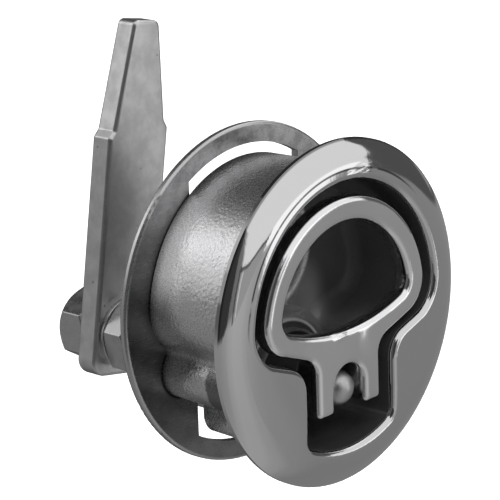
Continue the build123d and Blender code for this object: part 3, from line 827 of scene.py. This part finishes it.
def screw_tree(settings, material):
    """Threaded socket screws at both ends of a line; a screw's +Z is its head."""
    tree = Tree(bpy.data.node_groups.new("ring_screws", "GeometryNodeTree"))
    face = tree.tree.interface
    for name in SCREW_INPUTS:
        face.new_socket(name, in_out="INPUT", socket_type="NodeSocketFloat")
    for name in ("First", "Last"):
        face.new_socket(name, in_out="INPUT", socket_type="NodeSocketVector")
    face.new_socket("Geometry", in_out="OUTPUT", socket_type="NodeSocketGeometry")
    given = tree.add("NodeGroupInput").outputs
    head = screw_head(tree, given, settings.sides)
    shank = screw_shank(tree, given, settings.sides)
    ends = {"Count": 2, "Start Location": given["First"], "Offset": given["Last"]}
    line = tree.add("GeometryNodeMeshLine", ends, mode="END_POINTS", count_mode="TOTAL")
    placed = tree.add("GeometryNodeInstanceOnPoints", {
        "Points": line, "Instance": tree.join(shank, head), "Rotation": (math.radians(-90), 0, 0)})
    real = tree.add("GeometryNodeRealizeInstances", {0: placed})
    dressed = tree.add("GeometryNodeSetMaterial", {"Geometry": real, "Material": material})
    tree.add("NodeGroupOutput", {0: dressed})
    return tree.tree


def screw_head(tree, given, sides):
    """Rounded head above z = 0 with a hexagon socket."""
    disc = tree.add("GeometryNodeMeshCylinder", {
        "Vertices": sides, "Side Segments": HEAD_RINGS, "Radius": given["Head radius"],
        "Depth": given["Head height"]})
    place = tree.add("GeometryNodeInputPosition")
    half = tree.times(given["Head height"], 0.5)
    share = tree.math("DIVIDE", tree.largest(tree.split(place)[2], 0.0), half)
    lost = tree.times(tree.math("POWER", share, 2.0), HEAD_DOME)
    bulge = tree.math("SQRT", tree.minus(1.0, lost))
    wide = tree.add("ShaderNodeCombineXYZ", {0: bulge, 1: bulge, 2: 1.0})
    domed = tree.add("ShaderNodeVectorMath", {0: place, 1: wide}, operation="MULTIPLY")
    shaped = tree.add("GeometryNodeSetPosition", {
        "Geometry": disc, "Position": domed, "Offset": tree.upright(half)})
    hexagon = tree.add("GeometryNodeMeshCylinder", {
        "Vertices": 6, "Radius": given["Socket radius"],
        "Depth": tree.times(given["Socket depth"], 2.0)})
    cutter = tree.moved(hexagon, given["Head height"])
    return tree.add("GeometryNodeMeshBoolean", {0: shaped, 1: cutter}, operation="DIFFERENCE")


def screw_shank(tree, given, sides):
    """Core below z = 0 with the thread wound round it."""
    long, pitch = given["Thread length"], given["Pitch"]
    depth = tree.times(pitch, 0.5)
    core_radius = tree.minus(given["Thread radius"], depth)
    core = tree.add("GeometryNodeMeshCylinder", {
        "Vertices": sides, "Radius": core_radius, "Depth": long})
    run = tree.minus(long, tree.times(pitch, 2.0))
    helix = tree.add("GeometryNodeCurveSpiral", {
        "Resolution": THREAD_STEPS, "Rotations": tree.math("DIVIDE", run, pitch),
        "Start Radius": core_radius, "End Radius": core_radius, "Height": run})
    path = tree.moved(helix, tree.minus(pitch, long))
    tooth = tree.add(
        "GeometryNodeCurvePrimitiveCircle", {"Resolution": 4, "Radius": depth}, mode="RADIUS")
    thread = tree.add("GeometryNodeCurveToMesh", {0: path, 1: tooth, "Fill Caps": True})
    return tree.join(tree.moved(core, tree.times(long, -0.5)), thread)


def scene_object(name, data):
    """New object in the scene."""
    thing = bpy.data.objects.new(name, data)
    bpy.context.scene.collection.objects.link(thing)
    return thing


def make_screws(settings, material):
    """Both ring screws in one plain mesh, in place of the two CAD nodes."""
    boxes = [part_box(name) for name in ("ring_screw_left", "ring_screw_right")]
    low, high = boxes[0]
    seat = high.y - settings.head_height
    values = dict(zip(SCREW_INPUTS, (
        (high.x - low.x) / 2, settings.head_height, settings.shank_radius, seat - low.y,
        settings.socket_radius, settings.socket_depth, settings.pitch)))
    for name, (low, high) in zip(("First", "Last"), boxes):
        values[name] = ((low.x + high.x) / 2, seat, (low.z + high.z) / 2)
    holder = scene_object("screw_maker", bpy.data.meshes.new("screw_maker"))
    modifier = holder.modifiers.new("ring_screws", "NODES")
    modifier.node_group = screw_tree(settings, material)
    for item in modifier.node_group.interface.items_tree:
        if item.in_out == "INPUT":
            modifier[item.identifier] = values[item.name]
    graph = bpy.context.evaluated_depsgraph_get()
    mesh = bpy.data.meshes.new_from_object(holder.evaluated_get(graph), depsgraph=graph)
    bpy.data.objects.remove(holder)
    if not mesh.polygons:
        raise RuntimeError("the ring screws came out empty")
    mesh.shade_smooth()
    mesh.set_sharp_from_angle(angle=SHARP_ANGLE)
    piece = scene_object("ring_screws", mesh)
    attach(piece, "housing")
    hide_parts("ring_screw_left", "ring_screw_right")


def direction(azimuth, elevation):
    """Direction from the object: azimuth 0 is in front and a quarter turn is to its right."""
    level = math.cos(elevation)
    return Vector((math.sin(azimuth) * level, -math.cos(azimuth) * level, math.sin(elevation)))


def facing_point(azimuth, elevation, radius):
    """Point at a distance from the object, its angles in degrees."""
    return direction(math.radians(azimuth), math.radians(elevation)) * radius


def make_camera(settings):
    """Camera at the photograph's place, aimed so that the flange's centre falls on its pixel."""
    back = direction(settings.azimuth, settings.elevation)
    place = back * settings.distance
    flat_right = Vector((math.cos(settings.azimuth), math.sin(settings.azimuth), 0.0))
    flat_up = back.cross(flat_right)
    turn = settings.roll
    right = math.cos(turn) * flat_right + math.sin(turn) * flat_up
    up = -math.sin(turn) * flat_right + math.cos(turn) * flat_up
    per_pixel = settings.distance / settings.focal_pixels
    half = PHOTO_SIDE / 2
    across = right * (half - settings.centre_x) * per_pixel
    aim = across - up * (half - settings.centre_y) * per_pixel
    look_back = (place - aim).normalized()
    side = (right - right.dot(look_back) * look_back).normalized()
    rise = look_back.cross(side)
    data = bpy.data.cameras.new("photo_camera")
    data.sensor_width = SENSOR_WIDTH
    data.lens = settings.focal_pixels * SENSOR_WIDTH / PHOTO_SIDE
    data.clip_start, data.clip_end = CAMERA_REACH
    camera = scene_object("photo_camera", data)
    pose = Matrix((side, rise, look_back)).transposed().to_4x4()
    camera.matrix_world = Matrix.Translation(place) @ pose
    bpy.context.scene.camera = camera


def make_world(settings):
    """White to the camera and in the metal, plain soft light for everything else."""
    world = bpy.data.worlds.new("studio_world")
    world.use_nodes = True
    tree = Tree(world.node_tree)
    plain = tree.add("ShaderNodeBackground", {"Color": WHITE, "Strength": settings.room_light})
    white = tree.add("ShaderNodeBackground", {"Color": WHITE, "Strength": 1.0})
    mix = tree.add("ShaderNodeMixShader", {0: shown_to_eye(tree), 1: plain, 2: white})
    tree.add("ShaderNodeOutputWorld", {0: mix})
    bpy.context.scene.world = world


def shown_to_eye(tree):
    """1 for rays from the camera, direct or through metal or glass, and 0 for the rest."""
    rays = tree.add("ShaderNodeLightPath").outputs
    return tree.largest(rays["Is Camera Ray"], rays["Is Glossy Ray"], rays["Is Transmission Ray"])


def floor_finish(settings):
    """Pale floor that keeps the shadow and reads as white."""
    tree = MaterialTree("studio_floor")
    matt = tree.add("ShaderNodeBsdfDiffuse", {"Color": rgba(settings.floor_shade)})
    glow = tree.times(shown_to_eye(tree), settings.floor_glow)
    light = tree.add("ShaderNodeEmission", {"Color": WHITE, "Strength": glow})
    return tree.close(tree.add("ShaderNodeAddShader", {0: matt, 1: light}))


def stage_piece(mesh, material):
    """Object that isn't part of the latch."""
    mesh.materials.append(material)
    piece = scene_object(mesh.name, mesh)
    return piece


def flat_piece(name, corners, material):
    """Stage piece of one face."""
    mesh = bpy.data.meshes.new(name)
    mesh.from_pydata(corners, [], [tuple(range(len(corners)))])
    return stage_piece(mesh, material)


def metal_only(piece):
    """Hide from everything but reflections."""
    for ray in ("camera", "diffuse", "shadow", "transmission", "volume_scatter"):
        setattr(piece, "visible_" + ray, False)


def make_floor(settings):
    """Pale square floor under the object."""
    low = CAD_BOX[0].z - settings.floor_drop
    half = settings.floor_half
    corners = [(-half, -half, low), (half, -half, low), (half, half, low), (-half, half, low)]
    flat_piece("studio_floor", corners, floor_finish(settings)).visible_glossy = False


def make_card(name, level, soft, corners, radius):
    """Curved card of one level with a soft edge, all at one distance, that only the metal sees."""
    tree = MaterialTree(name)
    light = tree.add("ShaderNodeEmission", {"Color": WHITE, "Strength": level})
    clear = tree.add("ShaderNodeBsdfTransparent")
    cover = tree.add("ShaderNodeAttribute", attribute_name="cover").outputs["Fac"]
    mix = tree.add("ShaderNodeMixShader", {0: tree.ramp(cover, 0.0, 1.0), 1: clear, 2: light})
    points = [facing_point(azimuth, elevation, radius) for azimuth, elevation in corners]
    card = flat_piece(name, points, tree.close(mix))
    skin = bmesh.new()
    skin.from_mesh(card.data)
    bmesh.ops.inset_region(
        skin, faces=skin.faces[:], thickness=radius * math.radians(soft), use_even_offset=True,
        use_boundary=True)
    layer = skin.verts.layers.float.new("cover")
    for vertex in skin.verts:
        vertex[layer] = 0.0 if vertex.is_boundary else 1.0
    bmesh.ops.triangulate(skin, faces=skin.faces[:])
    bmesh.ops.subdivide_edges(skin, edges=skin.edges[:], cuts=CARD_CUTS, use_grid_fill=True)
    for vertex in skin.verts:
        vertex.co = vertex.co.normalized() * radius
    skin.to_mesh(card.data)
    skin.free()
    metal_only(card)


def ground_finish(radius):
    """Light whose level changes softly round the object and a little with the height."""
    tree = Finish("ground_bowl")
    turn = tree.math("ARCTAN2", tree.x, tree.times(tree.y, -1.0))
    share = tree.ramp(turn, -math.pi, math.pi, kind="LINEAR")
    levels = tree.add("ShaderNodeValToRGB", {0: share})
    levels.color_ramp.interpolation = "EASE"
    marks = levels.color_ramp.elements
    for azimuth, level in GROUND[1:-1]:
        marks.new((azimuth + 180) / 360)
    for mark, (azimuth, level) in zip(marks, GROUND):
        mark.color = (level, level, level, 1.0)
    heights = (share * radius for share in GROUND_HEIGHTS)
    fade = tree.ramp(tree.z, *heights, *GROUND_LEVELS, kind="LINEAR")
    return tree.close(tree.add("ShaderNodeEmission", {"Color": levels, "Strength": fade}))


def make_ground(radius):
    """Lower half of the studio, that only the metal sees."""
    skin = bmesh.new()
    bmesh.ops.create_uvsphere(skin, u_segments=72, v_segments=36, radius=radius)
    upper = [vertex for vertex in skin.verts if vertex.co.z > MM]
    bmesh.ops.delete(skin, geom=upper, context="VERTS")
    mesh = bpy.data.meshes.new("ground_bowl")
    skin.to_mesh(mesh)
    skin.free()
    metal_only(stage_piece(mesh, ground_finish(radius)))


def make_lamp(name, azimuth, elevation, distance, width, power):
    """Soft square lamp turned to the object."""
    data = bpy.data.lights.new(name, "AREA")
    data.shape = "SQUARE"
    data.size = width
    data.energy = power
    lamp = scene_object(name, data)
    place = facing_point(azimuth, elevation, distance)
    turn = place.to_track_quat("Z", "Y").to_matrix().to_4x4()
    lamp.matrix_world = Matrix.Translation(place) @ turn
    lamp.visible_glossy = False


class HATCH_OT_stage(bpy.types.Operator):
    """Camera, floor, world, lamps and the cards that shape the reflections"""

    bl_idname = "hatch.stage"
    bl_label = "Studio"

    def execute(self, context):
        settings = context.scene.hatch_studio
        make_camera(settings)
        make_world(settings)
        make_floor(settings)
        for rank, (name, card) in enumerate(WALLS.items()):
            make_card(name, *card, settings.card_radius - CARD_STEP * rank)
        make_ground(settings.card_radius + CARD_STEP)
        for name, lamp in LAMPS.items():
            make_lamp(name, *lamp)
        return {"FINISHED"}


class HATCH_OT_flange(bpy.types.Operator):
    """Finish of the flange casting"""

    bl_idname = "hatch.flange"
    bl_label = "Flange casting"

    def execute(self, context):
        scene = context.scene
        dress(flange_finish(scene.hatch_polished, scene.hatch_cast), "flange_body")
        return {"FINISHED"}


class HATCH_OT_handle(bpy.types.Operator):
    """Finish of the lift ring, its pin and the knob that it straddles"""

    bl_idname = "hatch.handle"
    bl_label = "Lift ring and knob"

    def execute(self, context):
        scene = context.scene
        dress(handle_finish(scene.hatch_polished, scene.hatch_cast), "lift_handle")
        dress(knob_finish(scene.hatch_satin, scene.hatch_cast), "turning_shaft", "handle_pin")
        return {"FINISHED"}


class HATCH_OT_arm(bpy.types.Operator):
    """Finish of the arm, bolt, nut, steel washers and clip"""

    bl_idname = "hatch.arm"
    bl_label = "Arm and bolt"

    def execute(self, context):
        satin = context.scene.hatch_satin
        dress(arm_finish(satin), "cam_arm")
        dress(hex_finish(satin), "grip_bolt", "lock_nut", "arm_washer", "wave_washer",
              "retaining_clip")
        return {"FINISHED"}


class HATCH_OT_ring(bpy.types.Operator):
    """Finish of the backing ring"""

    bl_idname = "hatch.ring"
    bl_label = "Backing ring"

    def execute(self, context):
        dress(ring_finish(context.scene.hatch_satin), "backing_ring")
        return {"FINISHED"}


class HATCH_OT_screws(bpy.types.Operator):
    """Threaded ring screws, made with geometry nodes"""

    bl_idname = "hatch.screws"
    bl_label = "Ring screws"

    def execute(self, context):
        scene = context.scene
        make_screws(scene.hatch_screws, hex_finish(scene.hatch_satin))
        return {"FINISHED"}


class HATCH_OT_bearings(bpy.types.Operator):
    """Finish of the bushes, plastic washers and seals"""

    bl_idname = "hatch.bearings"
    bl_label = "Bushes and seals"

    def execute(self, context):
        dress(plastic_finish(), "front_bush", "rear_bush", "thrust_washer", "tail_washer")
        dress(rubber_finish(), "front_seal", "rear_seal")
        return {"FINISHED"}


OPERATORS = (
    HATCH_OT_stage, HATCH_OT_flange, HATCH_OT_handle, HATCH_OT_arm, HATCH_OT_ring, HATCH_OT_screws,
    HATCH_OT_bearings)


class HATCH_PT_panel(bpy.types.Panel):
    """Lists the steps and their settings"""

    bl_idname = "HATCH_PT_panel"
    bl_label = "Hatch latch"
    bl_space_type = "VIEW_3D"
    bl_region_type = "UI"
    bl_category = "Hatch latch"

    def draw(self, context):
        for operator in OPERATORS:
            self.layout.operator(operator.bl_idname)
        for name, group in GROUPS.items():
            box = self.layout.box()
            for key in group.__annotations__:
                box.prop(getattr(context.scene, name), key)


CLASSES = (*GROUPS.values(), *OPERATORS, HATCH_PT_panel)


def register():
    for kind in CLASSES:
        bpy.utils.register_class(kind)
    for name, group in GROUPS.items():
        setattr(bpy.types.Scene, name, PointerProperty(type=group))


def unregister():
    for name in GROUPS:
        delattr(bpy.types.Scene, name)
    for kind in reversed(CLASSES):
        bpy.utils.unregister_class(kind)


def main():
    register()
    bpy.context.scene.view_settings.view_transform = "Standard"
    bpy.ops.hatch.stage()
    bpy.ops.hatch.flange()
    bpy.ops.hatch.handle()
    bpy.ops.hatch.arm()
    bpy.ops.hatch.ring()
    bpy.ops.hatch.screws()
    bpy.ops.hatch.bearings()


if __name__ == "__main__":
    main()
